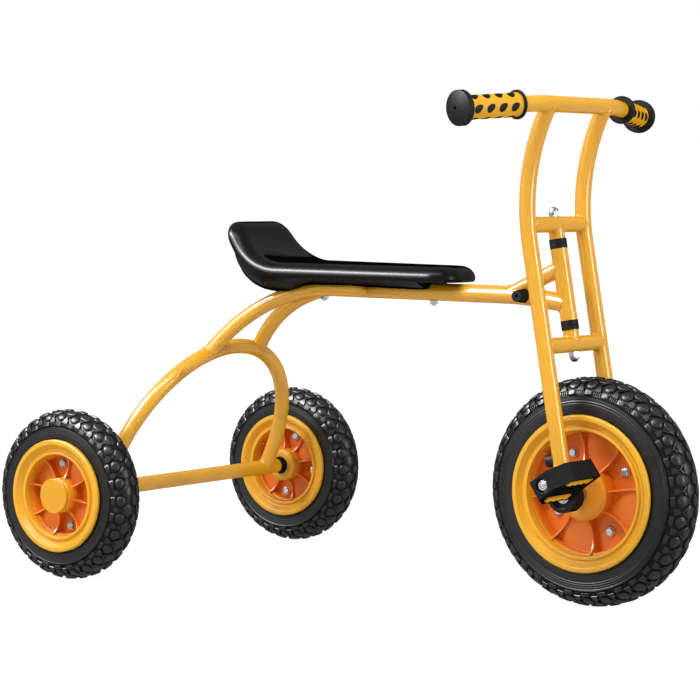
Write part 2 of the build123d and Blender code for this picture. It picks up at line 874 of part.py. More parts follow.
base_plan = offset(seat_plan, -base_inset, kind=Kind.INTERSECTION)
base_plan = fillet(base_plan.vertices().sort_by(Axis.X)[:2], base_corner)
base = extrude(base_plan, amount=lip_height) & across_seat(side_view)
base = base & extrude(Plane.YZ * bowl, amount=wheelbase, both=True)
saddle_start = (rear_x + seat_rear, 0, backbone_z)
saddle_end = (rear_x + backbone_kink, 0, backbone_z)
base -= rod(saddle_start, saddle_end, backbone_r + seat_gap)
for name, side in SIDES:
    base -= bent_tube(branch_lines[name], branch_r + seat_gap)
parts["seat_base"] = largest(base)

os.makedirs("parts", exist_ok=True)
for node, shape in parts.items():
    export_step(shape, f"parts/{node}.step")
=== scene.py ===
import json
from math import atan2, ceil, cos, hypot, pi, radians, sin, sqrt

import bpy
from mathutils import Matrix, Vector
from mathutils.bvhtree import BVHTree


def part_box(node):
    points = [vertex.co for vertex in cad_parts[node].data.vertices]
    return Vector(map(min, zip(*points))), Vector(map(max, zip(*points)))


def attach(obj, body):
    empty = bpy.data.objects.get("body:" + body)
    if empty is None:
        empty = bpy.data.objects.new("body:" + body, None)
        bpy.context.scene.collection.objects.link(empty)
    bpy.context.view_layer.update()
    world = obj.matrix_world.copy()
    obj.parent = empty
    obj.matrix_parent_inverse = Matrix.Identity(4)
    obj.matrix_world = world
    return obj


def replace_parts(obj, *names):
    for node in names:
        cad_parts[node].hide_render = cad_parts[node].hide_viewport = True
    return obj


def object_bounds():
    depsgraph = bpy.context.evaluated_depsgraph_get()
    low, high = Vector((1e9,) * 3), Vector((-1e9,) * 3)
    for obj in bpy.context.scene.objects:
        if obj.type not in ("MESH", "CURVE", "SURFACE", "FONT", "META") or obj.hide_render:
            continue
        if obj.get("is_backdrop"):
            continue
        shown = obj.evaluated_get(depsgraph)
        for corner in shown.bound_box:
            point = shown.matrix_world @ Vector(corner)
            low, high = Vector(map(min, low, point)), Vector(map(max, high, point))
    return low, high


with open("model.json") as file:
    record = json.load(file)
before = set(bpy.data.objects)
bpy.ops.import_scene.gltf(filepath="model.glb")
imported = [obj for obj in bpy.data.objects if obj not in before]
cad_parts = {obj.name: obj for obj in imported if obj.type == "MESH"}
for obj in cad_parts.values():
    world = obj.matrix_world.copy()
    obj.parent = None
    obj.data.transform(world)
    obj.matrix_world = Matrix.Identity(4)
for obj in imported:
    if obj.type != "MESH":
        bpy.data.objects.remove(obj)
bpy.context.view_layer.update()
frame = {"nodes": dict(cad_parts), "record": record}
nodes = frame["nodes"]
MM = 0.001
SIDES = (("right", -1), ("left", 1))

# Places that the CAD model gives
front_low, front_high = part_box("front_tyre")
FRONT = (front_low + front_high) / 2
FRONT_R = (front_high.x - front_low.x) / 2
REAR = {}
for name, side in SIDES:
    low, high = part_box(f"rear_tyre_{name}")
    REAR[name] = (low + high) / 2
    REAR_R = (high.x - low.x) / 2
REAR_X = REAR["right"].x / MM

# Sizes that the CAD model uses and its boxes don't show, in millimetres. Heights along the fork are from the
# front axle, along the steering axis.
RAKE = radians(10.5)
LEG_Y = 74.5
LEG_TOP = (51.5, 503.0)
CROSS_HEIGHTS = (206.5, 375.0)
CROSS_R = 11.0
BAR_FORWARD = 62.4
BAR_HEIGHT = 531.5
BAR_BEND_Y = 100.0
BAR_END_Y = 238.0
BAR_END_FORWARD = 23.3
BAR_END_HEIGHT = 528.8
GRIP_START_Y = 142.0
GRIP_REACH = 92.5
GRIP_R = 16.2
BACKBONE_Z = 428.0
BACKBONE_HEAD = 264.0
GUSSET_HEAD = 314.0
GUSSET_FOOT = 581.0
HOOP_R = 197.0
HOOP_LIFT = 31.0
HOOP_TILT = radians(24)
BRANCH_FOOT_Y = 60.0
BRANCH_TOP_X = 291.0
BRANCH_TOP_Y = 24.0
CRANK = radians(37.5)
CRANK_R = 48.0
FORK = Matrix(
    (
        (cos(RAKE), 0, -sin(RAKE), FRONT.x),
        (0, 1, 0, 0),
        (sin(RAKE), 0, cos(RAKE), FRONT.z),
        (0, 0, 0, 1),
    )
)


def fork_mm(forward, side, up):
    """A point of the fork's frame, given in millimetres, in the tricycle's frame."""
    return FORK @ Vector((forward * MM, side * MM, up * MM))


# Camera, fitted to the photo: place in metres, angles in degrees, focal length in pixels
CAMERA_AT = Vector((2.18019, -3.15294, 0.59467))
CAMERA_ANGLES = (35.558, 3.804, 0.613)
FOCAL_PX = 2634.64
PICTURE_PX = 700
SENSOR_MM = 36
camera = bpy.data.objects.new("camera", bpy.data.cameras.new("camera"))
bpy.context.scene.collection.objects.link(camera)
bpy.context.scene.camera = camera
yaw, pitch, roll = (radians(angle) for angle in CAMERA_ANGLES)
back = Vector((sin(yaw) * cos(pitch), -cos(yaw) * cos(pitch), sin(pitch)))
right = (-back).cross(Vector((0, 0, 1))).normalized()
up = back.cross(right)
right_rolled = right * cos(roll) + up * sin(roll)
up_rolled = up * cos(roll) - right * sin(roll)
camera.matrix_world = Matrix(
    (
        (right_rolled.x, up_rolled.x, back.x, CAMERA_AT.x),
        (right_rolled.y, up_rolled.y, back.y, CAMERA_AT.y),
        (right_rolled.z, up_rolled.z, back.z, CAMERA_AT.z),
        (0, 0, 0, 1),
    )
)
camera.data.sensor_width = SENSOR_MM
camera.data.lens = SENSOR_MM * FOCAL_PX / PICTURE_PX


class Nodes:
    """Short way to write a material's node tree."""

    def __init__(self, name):
        self.material = bpy.data.materials.new(name)
        self.material.use_nodes = True
        self.tree = self.material.node_tree
        self.shader = self.tree.nodes["Principled BSDF"]
        self.place = self.add("ShaderNodeTexCoord").outputs["Object"]

    def add(self, kind, **inputs):
        made = self.tree.nodes.new(kind)
        for key, value in inputs.items():
            self.put(made, key, value)
        return made

    def put(self, node, key, value):
        socket = node.inputs[key]
        if isinstance(value, bpy.types.NodeSocket):
            self.tree.links.new(value, socket)
        else:
            socket.default_value = value

    def noise(self, scale, detail=2.0, rough=0.5):
        made = self.add("ShaderNodeTexNoise", Vector=self.place)
        made.inputs["Scale"].default_value = scale
        made.inputs["Detail"].default_value = detail
        made.inputs["Roughness"].default_value = rough
        return made.outputs["Fac"]

    def ramp(self, value, low, high, start=0.35, end=0.65):
        made = self.add("ShaderNodeMapRange", Value=value)
        made.inputs["From Min"].default_value = start
        made.inputs["From Max"].default_value = end
        made.inputs["To Min"].default_value = low
        made.inputs["To Max"].default_value = high
        return made.outputs["Result"]

    def mix(self, factor, low, high):
        made = self.tree.nodes.new("ShaderNodeMix")
        made.data_type = "RGBA"
        self.tree.links.new(factor, made.inputs["Factor"])
        made.inputs["A"].default_value = low
        made.inputs["B"].default_value = high
        return made.outputs["Result"]

    def bump(self, height, strength, distance, normal=None):
        made = self.add("ShaderNodeBump", Height=height)
        made.inputs["Strength"].default_value = strength
        made.inputs["Distance"].default_value = distance
        if normal is not None:
            self.tree.links.new(normal, made.inputs["Normal"])
        return made.outputs["Normal"]

    def math(self, operation, first, second=0.0):
        made = self.tree.nodes.new("ShaderNodeMath")
        made.operation = operation
        self.put(made, 0, first)
        self.put(made, 1, second)
        return made.outputs[0]

    def rounded(self, radius):
        """Normal that shows sharp edges as if they were rounded, radius in millimetres."""
        made = self.add("ShaderNodeBevel")
        made.samples = 4
        made.inputs["Radius"].default_value = radius * MM
        return made.outputs["Normal"]

    def gloss(self, specular, coat=0.0):
        """Gloss that dies away where the surface is seen edge on, as on satin plastic and paint."""
        facing = self.add("ShaderNodeLayerWeight", Blend=0.5).outputs["Facing"]
        self.put(self.shader, "Specular IOR Level", self.ramp(facing, specular, 0.0, start=0.22, end=0.74))
        if coat:
            self.put(self.shader, "Coat Weight", self.ramp(facing, coat, 0.0, start=0.30, end=0.80))
            self.shader.inputs["Coat Roughness"].default_value = 0.12

    def set(self, **inputs):
        for key, value in inputs.items():
            self.put(self.shader, key.replace("_", " "), value)


def surface(name, low, high, rough, grain, grain_strength, specular, coat=0.0, round_edge=0.0, patch=9.0):
    """Plain finish: colour and roughness wander, a fine grain shows as bump, edges are a little round."""
    m = Nodes(name)
    slow = m.noise(patch, 4.0, 0.6)
    m.set(Base_Color=m.mix(m.ramp(slow, 0.0, 1.0), (*low, 1), (*high, 1)))
    m.set(Roughness=m.ramp(m.noise(patch * 4, 5.0, 0.7), *rough))
    edge = m.rounded(round_edge) if round_edge else None
    m.set(Normal=m.bump(m.noise(grain, 3.0, 0.55), grain_strength, 0.0004, edge))
    m.gloss(specular, coat)
    return m


def rim_material(name, centre, floor_y, lip_y, hub):
    """Moulded rim plastic, deeper orange where the dish is deep, which is painted shade; hub is how yellow
    the hub gets, a value under 1 painting the same shade there.
    """
    m = Nodes(name)
    spot = m.add("ShaderNodeSeparateXYZ", Vector=m.place).outputs
    depth = m.math("ABSOLUTE", m.math("SUBTRACT", m.math("ABSOLUTE", spot["Y"]), abs(centre.y)))
    rise = m.ramp(depth, 0.0, 1.0, start=floor_y * MM, end=lip_y * MM)
    forward = m.math("SUBTRACT", spot["X"], centre.x)
    above = m.math("SUBTRACT", spot["Z"], centre.z)
    squares = m.math("ADD", m.math("MULTIPLY", forward, forward), m.math("MULTIPLY", above, above))
    apart = m.math("SQRT", squares)
    rise = m.math("MULTIPLY", rise, m.ramp(apart, hub, 1.0, start=38 * MM, end=52 * MM))
    # Painted shade: the first colour is the shade in the deep dish, the second the lit lip.
    m.set(Base_Color=m.mix(rise, (0.77, 0.180, 0.010, 1), (0.83, 0.425, 0.022, 1)))
    m.set(Roughness=m.ramp(m.noise(40, 5.0, 0.7), 0.30, 0.38))
    m.set(Normal=m.bump(m.noise(900, 3.0, 0.55), 0.06, 0.0004, m.rounded(1.0)))
    m.gloss(0.32)
    return m


paint = surface(
    "orange_paint", (0.800, 0.388, 0.010), (0.780, 0.372, 0.009),
    rough=(0.30, 0.36), grain=520, grain_strength=0.03, specular=0.26, coat=0.60,
)
plastic = surface(
    "orange_plastic", (0.80, 0.370, 0.014), (0.78, 0.355, 0.012),
    rough=(0.32, 0.40), grain=900, grain_strength=0.06, specular=0.30, round_edge=0.8,
)
front_plastic = rim_material("front_rim_plastic", FRONT, floor_y=14.0, lip_y=30.0, hub=0.42)
rear_plastic = rim_material("rear_rim_plastic", REAR["left"], floor_y=12.0, lip_y=26.0, hub=1.0)
sleeve = surface(
    "sleeve_plastic", (0.82, 0.40, 0.018), (0.79, 0.38, 0.016),
    rough=(0.40, 0.50), grain=1400, grain_strength=0.15, specular=0.24,
)
seat = surface(
    "seat_plastic", (0.0016, 0.0016, 0.0017), (0.0022, 0.0022, 0.0023),
    rough=(0.25, 0.30), grain=1100, grain_strength=0.02, specular=0.10, patch=14,
)
black = surface(
    "black_plastic", (0.0055, 0.0055, 0.0060), (0.0085, 0.0085, 0.0090),
    rough=(0.34, 0.42), grain=1500, grain_strength=0.10, specular=0.10, round_edge=2.2, patch=30,
)
crank_paint = surface(
    "black_paint", (0.005, 0.005, 0.0055), (0.008, 0.008, 0.0085),
    rough=(0.24, 0.32), grain=700, grain_strength=0.05, specular=0.14, round_edge=0.8, patch=40,
)
rubber = surface(
    "black_rubber", (0.007, 0.007, 0.007), (0.011, 0.011, 0.0105),
    rough=(0.48, 0.60), grain=2200, grain_strength=0.15, specular=0.09, round_edge=1.0, patch=40,
)


def tyre_material():
    """Vulcanised rubber, a little greyer and glossier on the tread's tops than in its grooves, whose darker
    colour is painted shade.
    """
    m = Nodes("tyre_rubber")
    attribute = m.tree.nodes.new("ShaderNodeAttribute")
    attribute.attribute_name = "rise"
    rise = attribute.outputs["Fac"]
    # Painted shade: dark in the grooves and lighter on the tops, which also vary in tone at random.
    groove_shade_and_tone = m.math("MULTIPLY", rise, m.ramp(m.noise(18, 6.0, 0.65), 0.75, 1.0))
    m.set(Base_Color=m.mix(groove_shade_and_tone, (0.0050, 0.0050, 0.0050, 1), (0.0090, 0.0088, 0.0086, 1)))
    m.set(Roughness=m.ramp(m.noise(60, 5.0, 0.7), 0.34, 0.42))
    coarse = m.bump(m.noise(420, 4.0, 0.6), 0.08, 0.0005)
    m.set(Normal=m.bump(m.noise(2600, 2.0, 0.5), 0.10, 0.0002, coarse))
    facing = m.add("ShaderNodeLayerWeight", Blend=0.5).outputs["Facing"]
    glossy = m.ramp(facing, 0.24, 0.0, start=0.30, end=0.80)
    bare = m.ramp(rise, 0.45, 1.0, start=0.0, end=1.0)
    m.put(m.shader, "Specular IOR Level", m.math("MULTIPLY", bare, glossy))
    return m


def zinc_material(name, dark, light, spangle):
    """Bright zinc plate: faint spangle and fine scratches round the part."""
    m = Nodes(name)
    slow = m.noise(spangle, 4.0, 0.6)
    bluish, bright = (dark, dark, dark * 1.06, 1), (light, light, light * 1.02, 1)
    m.set(Base_Color=m.mix(m.ramp(slow, 0.0, 1.0), bluish, bright))
    m.set(Roughness=m.ramp(m.noise(900, 3.0, 0.6), 0.20, 0.34))
    m.set(Normal=m.bump(m.noise(2400, 2.0, 0.5), 0.12, 0.0001, m.rounded(0.5)))
    m.shader.inputs["Metallic"].default_value = 1.0
    return m


def shade(piece, kind):
    piece.data.materials.clear()
    piece.data.materials.append(kind.material)
    for face in piece.data.polygons:
        face.material_index = 0


tyre_rubber = tyre_material()
zinc = zinc_material("zinc", dark=0.30, light=0.48, spangle=260)
cap_zinc = zinc_material("cap_nut_zinc", dark=0.05, light=0.52, spangle=150)
SLOT_MATERIALS = {
    "orange_paint": paint,
    "orange_plastic": plastic,
    "black_plastic": black,
    "black_paint": crank_paint,
    "seat_plastic": seat,
    "black_rubber": rubber,
    "tyre_rubber": tyre_rubber,
    "zinc": zinc,
}
for entry in frame["record"]["subparts"]:
    shade(nodes[entry["node"]], SLOT_MATERIALS[entry["material_slot"]])
for name, side in SIDES:
    shade(nodes[f"grip_sleeve_{name}"], sleeve)
    shade(nodes[f"front_rim_{name}"], front_plastic)
    shade(nodes[f"rear_rim_outer_{name}"], rear_plastic)
    shade(nodes[f"rear_rim_inner_{name}"], rear_plastic)
shade(nodes["steering_bolt"], cap_zinc)
for name in ("grip_ends_right", "grip_ends_left", "leg_plugs", "head_bushes", "head_races"):
    shade(nodes[name], rubber)


class Build:
    """Collects the vertices and faces of one piece. rises is 0 for a vertex in a groove, 1 on a top; the
    tyre's material paints shade in the grooves by it.
    """

    def __init__(self):
        self.points = []
        self.faces = []
        self.rises = []

    def add(self, points, faces, place=None, rises=None):
        start = len(self.points)
        self.rises += rises if rises else [1.0] * len(points)
        self.points += [place @ Vector(p) if place else Vector(p) for p in points]
        self.faces += [tuple(start + i for i in face) for face in faces]

    def lathe(self, profile, place, count=32, closed=False):
        """Turns a profile of radius and height, in metres, about the place's Z axis."""
        points = []
        for r, z in profile:
            points += [(r * cos(2 * pi * i / count), r * sin(2 * pi * i / count), z) for i in range(count)]
        faces = []
        rows = len(profile) if closed else len(profile) - 1
        for row in range(rows):
            a, b = row * count, (row + 1) % len(profile) * count
            faces += [(a + i, a + (i + 1) % count, b + (i + 1) % count, b + i) for i in range(count)]
        if not closed:
            faces.append(tuple(reversed(range(count))))
            last = (len(profile) - 1) * count
            faces.append(tuple(range(last, last + count)))
        self.add(points, faces, place)

    def make(self, name, body, material, sharp=32):
        mesh = bpy.data.meshes.new(name)
        mesh.from_pydata(self.points, [], self.faces)
        mesh.validate()
        mesh.update()
        for face in mesh.polygons:
            face.use_smooth = True
        mesh.set_sharp_from_angle(angle=radians(sharp))
        if min(self.rises) < 1:
            mesh.attributes.new("rise", "FLOAT", "POINT").data.foreach_set("value", self.rises)
        piece = bpy.data.objects.new(name, mesh)
        bpy.context.scene.collection.objects.link(piece)
        mesh.materials.append(material.material)
        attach(piece, body)
        return piece


def frame_at(origin, way):
    """A place whose Z axis runs along way."""
    z = Vector(way).normalized()
    x = z.orthogonal().normalized()
    y = z.cross(x)
    return Matrix(
        (
            (x.x, y.x, z.x, origin[0]),
            (x.y, y.y, z.y, origin[1]),
            (x.z, y.z, z.z, origin[2]),
            (0, 0, 0, 1),
        )
    )


# Tyres: sidewall with fine rings, and a tread of knobs, squares and hexagons. Outlines are for blocks of
# length and width 1.
MIDDLE = ((0.5, 0), (0.2, 0.5), (-0.2, 0.5), (-0.5, 0), (-0.2, -0.5), (0.2, -0.5))
HEXAGON = ((0.5, 0), (0.27, 0.5), (-0.27, 0.5), (-0.5, 0), (-0.27, -0.5), (0.27, -0.5))
LUG = ((0.5, 0.5), (0.42, -0.1), (0.0, -0.6), (-0.42, -0.1), (-0.5, 0.5))
SQUARE = ((0.5, 0.5), (-0.5, 0.5), (-0.5, -0.5), (0.5, -0.5))
# Rise of the tyre's floor in the grooves, where its material paints shade, and of the sidewall
GROOVE_RISE = 0.12
SIDE_RISE = 0.75
KNOB_SIDES = 12
KNOB = [
    (0.5 * cos(2 * pi * (i + 0.5) / KNOB_SIDES), 0.5 * sin(2 * pi * (i + 0.5) / KNOB_SIDES))
    for i in range(KNOB_SIDES)
]


def scaled(outline, u, v):
    return [(u * a, v * b) for a, b in outline]


def tyre(name, body, place, facts):
    """One tyre about Y, with its place in metres and its facts in millimetres."""
    outer = facts["outer"]
    crown = facts["crown"]
    centre = outer - crown
    half = facts["half"]
    depth = facts["depth"]
    pitch = 2 * pi / facts["count"]
    edge = facts["edge"]

    def at(turn, arc, lift):
        """Point on the crown: turn about the axle, arc across it, lift above the running surface."""
        angle = arc / crown
        r = centre + (crown + lift) * cos(angle)
        return Vector((r * cos(turn) * MM, (crown + lift) * sin(angle) * MM, r * sin(turn) * MM)) + place

    build = Build()
    profile = []
    steps = 14
    for i in range(steps + 1):
        profile.append((edge * i / steps, -depth))
    profile.append((edge + 1.0, -depth * 0.35))
    profile.append((edge + 1.8, 0.0))
    ring = edge + 2.6
    side_end = crown * pi / 2
    for i in range(facts["rings"]):
        start = ring + i * facts["ring_step"]
        for offset, lift in ((0.0, -0.5), (0.45, 0.0), (0.9, 0.0), (1.35, -0.5)):
            profile.append((start + offset, lift))
    upper = []
    for arc, lift in profile:
        angle = arc / crown
        if angle < pi / 2:
            upper.append((centre + (crown + lift) * cos(angle), (crown + lift) * sin(angle)))
        else:
            upper.append((centre - (arc - side_end), crown + lift))
    bead = facts["bead"]
    last_r = upper[-1][0]
    for share, pull in ((0.25, 0.05), (0.5, 0.25), (0.75, 0.7), (1.0, 1.5)):
        upper.append((last_r + (bead + 6 - last_r) * share, half - pull))
    upper.append((bead + 1, half - 4.5))
    upper.append((bead + 0.4, half - 9))
    section = [(r, -y) for r, y in reversed(upper[1:])] + upper
    count = 160
    points = []
    for r, y in section:
        for i in range(count):
            turn = 2 * pi * i / count
            level = min(max(y, -half), half)
            points.append(Vector((r * cos(turn) * MM, level * MM, r * sin(turn) * MM)) + place)
    faces = []
    rows = len(section)
    for row in range(rows):
        a, b = row * count, (row + 1) % rows * count
        faces += [(a + i, b + i, b + (i + 1) % count, a + (i + 1) % count) for i in range(count)]
    # Rises of the carcass: low in the grooves, for the painted shade there
    rises = []
    for r, y in section:
        above = hypot(r - centre, y) - crown
        rises += [GROOVE_RISE if above < -depth * 0.6 and r > centre else SIDE_RISE] * count
    build.add(points, faces, rises=rises)

    def block(turn, arc, shape, top=0.0, dome=0.0, bevel=0.8, shrink=0.86):
        """Raised block: shape is its outline, millimetres round and across."""
        r_here = centre + crown * cos(arc / crown)
        rings = ((1.06, -depth - 0.4), (1.0, top - bevel), (shrink, top - dome * 0.3))
        n = len(shape)
        made = []
        for share, lift in rings:
            made += [at(turn + u * share / r_here, arc + v * share, lift) for u, v in shape]
        made += [at(turn + u * shrink * 0.5 / r_here, arc + v * shrink * 0.5, top) for u, v in shape]
        made.append(at(turn, arc, top))
        quads = []
        for ring_index in range(3):
            a, b = ring_index * n, (ring_index + 1) * n
            quads += [(a + i, a + (i + 1) % n, b + (i + 1) % n, b + i) for i in range(n)]
        quads += [(3 * n + i, 3 * n + (i + 1) % n, 4 * n) for i in range(n)]
        # The foot of a block gets rise 0, for the painted shade in the grooves
        build.add(made, quads, rises=[0.0] * n + [1.0] * (3 * n + 1))

    def bar(turn, arc, du, dv, width, top):
        """Thin raised rib from a point of the tread, du round and dv across."""
        length = hypot(du, dv)
        hu, hv = du / 2, dv / 2
        nu, nv = -dv / length * width / 2, du / length * width / 2
        shape = [(hu + nu, hv + nv), (-hu + nu, -hv + nv), (-hu - nu, -hv - nv), (hu - nu, hv - nv)]
        middle = turn + hu / (centre + crown * cos(arc / crown))
        block(middle, arc + hv, shape, top=top, bevel=0.4, shrink=0.9)

    big_u, big_v = facts["hexagon"]
    knob = facts["knob"]
    mid_u, mid_v = facts["middle"]
    sq_u, sq_v = facts["square"]
    lug = facts["lug"]
    r_square = centre + crown * cos(facts["square_at"] / crown)
    fork_u, fork_v = facts["fork_u"], facts["fork_v"]
    for k in range(facts["count"]):
        turn = k * pitch
        mid = turn + pitch / 2
        block(turn, 0.0, scaled(MIDDLE, mid_u, mid_v))
        for flip in (-1, 1):
            block(mid, flip * facts["hexagon_at"], scaled(HEXAGON, big_u, big_v))
            round_knob = scaled(KNOB, knob, knob)
            block(turn, flip * facts["knob_at"], round_knob, dome=1.2, bevel=1.3, shrink=0.8)
            block(mid, flip * facts["lug_at"], scaled(LUG, lug, lug * flip))
            block(turn, flip * facts["square_at"], scaled(SQUARE, sq_u, sq_v), bevel=0.5, shrink=0.9)
            rib_arc = flip * (facts["square_at"] - sq_v * 0.45)
            for rib in range(4):
                rib_u = sq_u * (rib - 1.5) / 4
                bar(mid + rib_u / r_square, rib_arc, 0.0, flip * sq_v * 0.9, width=1.0, top=-1.1)
            tip = flip * (facts["knob_at"] - knob * 0.12)
            for du, dv in ((fork_u, -fork_v), (-fork_u, -fork_v), (0.0, fork_v)):
                bar(mid, tip, du, flip * dv, width=1.9, top=-0.6)
    return build.make(name, body, tyre_rubber, sharp=40)


# Millimetres. The places with _at are arcs across the tread from its middle.
front_facts = {
    "outer": FRONT_R / MM, "crown": 34.15, "half": 34.0, "bead": 101.0,
    "depth": 3.2, "count": 33, "edge": 42.5,
    "rings": 4, "ring_step": 3.2, "hexagon": (21.5, 11.6), "hexagon_at": 12.0, "knob": 16.0, "knob_at": 23.6,
    "middle": (17.5, 9.6), "square": (12.8, 6.4), "square_at": 38.2, "lug": 10.4, "lug_at": 30.8,
    "fork_u": 6.0, "fork_v": 3.8,
}
rear_facts = {
    "outer": REAR_R / MM, "crown": 28.25, "half": 28.0, "bead": 74.0,
    "depth": 2.9, "count": 28, "edge": 38.8,
    "rings": 4, "ring_step": 2.7, "hexagon": (19.8, 11.6), "hexagon_at": 11.8, "knob": 14.2, "knob_at": 22.8,
    "middle": (16.0, 9.6), "square": (11.8, 6.4), "square_at": 35.2, "lug": 9.6, "lug_at": 29.2,
    "fork_u": 5.4, "fork_v": 3.6,
}
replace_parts(tyre("front_tyre_tread", "front_wheel", FRONT, front_facts), "front_tyre")
for name, side in SIDES:
    made = tyre(f"rear_tyre_tread_{name}", f"rear_wheel_{name}", REAR[name], rear_facts)
    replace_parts(made, f"rear_tyre_{name}")


# Fasteners
def hex_profile(build, place, across, height, chamfer=0.12, hole=0.0):
    """Hexagon nut or head, chamfered at the top, about the place's Z axis."""
    r = across / sqrt(3)
    levels = ((r, 0.0), (r, height * 0.86), (r * (1 - chamfer), height))
    points = []
    for radius, z in levels:
        for i in range(12):
            angle = pi / 6 * i
            corner = radius if i % 2 == 0 else radius * cos(pi / 6) * (1.0 if z < height else 1.03)
            points.append((corner * cos(angle), corner * sin(angle), z))
    faces = []
    for row in range(2):
        a, b = row * 12, (row + 1) * 12
        faces += [(a + i, a + (i + 1) % 12, b + (i + 1) % 12, b + i) for i in range(12)]
    faces.append(tuple(reversed(range(12))))
    if hole <= 0:
        faces.append(tuple(range(24, 36)))
    else:
        base = len(points)
        points += [(hole * cos(pi / 6 * i), hole * sin(pi / 6 * i), height) for i in range(12)]
        points += [(hole * cos(pi / 6 * i), hole * sin(pi / 6 * i), height * 0.5) for i in range(12)]
        faces += [(24 + i, 24 + (i + 1) % 12, base + (i + 1) % 12, base + i) for i in range(12)]
        faces += [(base + i, base + (i + 1) % 12, base + 12 + (i + 1) % 12, base + 12 + i) for i in range(12)]
        faces.append(tuple(range(base + 12, base + 24)))
    build.add(points, faces, place)


def washer(build, place, outer, inner, height):
    bevel = height * 0.3
    profile = [(inner, 0), (outer, 0), (outer, height * 0.7), (outer - bevel, height), (inner, height)]
    build.lathe(profile, place, 28, closed=True)


def bolt_end(build, place, r, height):
    """Turned end of a bolt with a small bevel."""
    build.lathe([(r, 0), (r, height - 0.4 * MM), (r - 0.4 * MM, height)], place, 20)


def rim_bolts(name, body, centre, side, nut, circle, first_deg, head, seat_y):
    """Four through bolts: hexagon heads on one face of the wheel, nuts on the other. Millimetres."""
    build = Build()
    for k in range(4):
        angle = radians(first_deg + 90 * k)
        spot = centre + Vector((circle * cos(angle) * MM, side * seat_y * MM, circle * sin(angle) * MM))
        place = frame_at(spot, (0, side, 0)) @ Matrix.Rotation(radians(17 + 23 * k), 4, "Z")
        washer(build, place, head * 0.60 * MM, 2.6 * MM, 0.9 * MM)
        raised = place @ Matrix.Translation((0, 0, 0.9 * MM))
        if nut:
            hex_profile(build, raised, head * 0.92 * MM, 3.6 * MM, hole=2.9 * MM)
            bolt_end(build, raised, 2.5 * MM, 4.2 * MM)
        else:
            hex_profile(build, raised, head * 0.92 * MM, 3.4 * MM, chamfer=0.16)
    build.make(name, body, zinc, sharp=28)


front_bolts = {"circle": 61.0, "first_deg": 30.0, "head": 11.4, "seat_y": 4.6}
rim_bolts("front_bolt_heads", "front_wheel", FRONT, -1, False, **front_bolts)
rim_bolts("front_bolt_nuts", "front_wheel", FRONT, 1, True, **front_bolts)
for name, side in SIDES:
    rear_bolts = {"circle": 46.0, "first_deg": 10.0 if side < 0 else -11.0, "head": 10.6, "seat_y": 4.4}
    rim_bolts(f"rear_bolt_nuts_{name}", f"rear_wheel_{name}", REAR[name], side, True, **rear_bolts)
    rim_bolts(f"rear_bolt_heads_{name}", f"rear_wheel_{name}", REAR[name], -side, False, **rear_bolts)


def millimetres(profile):
    return [(r * MM, z * MM) for r, z in profile]


# Dark bearing seals in the inner faces of the rear wheels
SEAL_IN = 33.0
SEAL = ((10.3, 0), (13.7, 0), (13.7, 0.9), (13.1, 1.4), (11.6, 1.4), (11.3, 1.0), (10.3, 1.0))
for name, side in SIDES:
    build = Build()
    seal_y = REAR[name].y - side * SEAL_IN * MM
    place = frame_at((REAR[name].x, seal_y, REAR[name].z), (0, -side, 0))
    build.lathe(millimetres(SEAL), place, 40, closed=True)
    build.make(f"rear_seal_{name}", f"rear_wheel_{name}", black)

# Nuts of the cranks and pedals
CRANK_NUT_Y = 83.0
PEDAL_NUT_Y = 193.2
CRANK_BOLT = ((4.2, 0), (4.2, 3.2), (3.6, 3.8), (1.4, 3.8), (0.9, 3.0), (0.3, 3.0))
PEDAL_BOLT = ((4.2, 0), (4.2, 4.9), (3.6, 5.5), (0.4, 5.5))
for name, side in SIDES:
    build = Build()
    place = frame_at((FRONT.x, side * CRANK_NUT_Y * MM, FRONT.z), (0, side, 0))
    hex_profile(build, place, 13.0 * MM, 4.2 * MM, hole=4.4 * MM)
    build.lathe(millimetres(CRANK_BOLT), place, 24)
    build.make(f"crank_nut_{name}", "front_wheel", zinc, sharp=28)
    turn = CRANK if side < 0 else CRANK + pi
    reach = CRANK_R * MM
    pin = (FRONT.x + reach * cos(turn), side * PEDAL_NUT_Y * MM, FRONT.z + reach * sin(turn))
    build = Build()
    place = frame_at(pin, (0, side, 0))
    washer(build, place, 8.4 * MM, 3.4 * MM, 1.0 * MM)
    raised = place @ Matrix.Translation((0, 0, 1.0 * MM))
    hex_profile(build, raised, 13.2 * MM, 5.0 * MM, hole=4.6 * MM)
    build.lathe(millimetres(PEDAL_BOLT), raised, 24)
    build.make(f"pedal_nut_{name}", "front_wheel", zinc, sharp=28)

# Bolts that hold the seat, seen under the backbone: places in front of the rear axle, and their height
SEAT_BOLTS_AT = (259.0, 454.0)
SEAT_BOLTS_Z = 415.6
build = Build()
for x in SEAT_BOLTS_AT:
    place = frame_at(((REAR_X + x) * MM, 0, SEAT_BOLTS_Z * MM), (0, 0, -1))
    washer(build, place, 6.4 * MM, 3.0 * MM, 1.1 * MM)
    raised = place @ Matrix.Translation((0, 0, 1.1 * MM))
    hex_profile(build, raised, 10.0 * MM, 4.6 * MM, hole=3.1 * MM)
    bolt_end(build, raised, 2.8 * MM, 6.6 * MM)
build.make("seat_bolts", "frame", zinc, sharp=28)

# Grips: black pads that show through the sleeves
BAR_END = {side: Vector((BAR_END_FORWARD, side * BAR_END_Y, BAR_END_HEIGHT)) for name, side in SIDES}
BAR_BEND = {side: Vector((BAR_FORWARD, side * BAR_BEND_Y, BAR_HEIGHT)) for name, side in SIDES}
PAD_ROWS = 5
PADS_IN_ROW = 4
PAD_TURN = radians(36)
PAD_FIRST = 0.155
PAD_STEP = 0.228
PAD_TILT = radians(32)
PAD_RINGS = ((1.0, -0.25), (0.95, 0.24), (0.72, 0.48), (0.35, 0.55))
PAD_TOP = 0.55


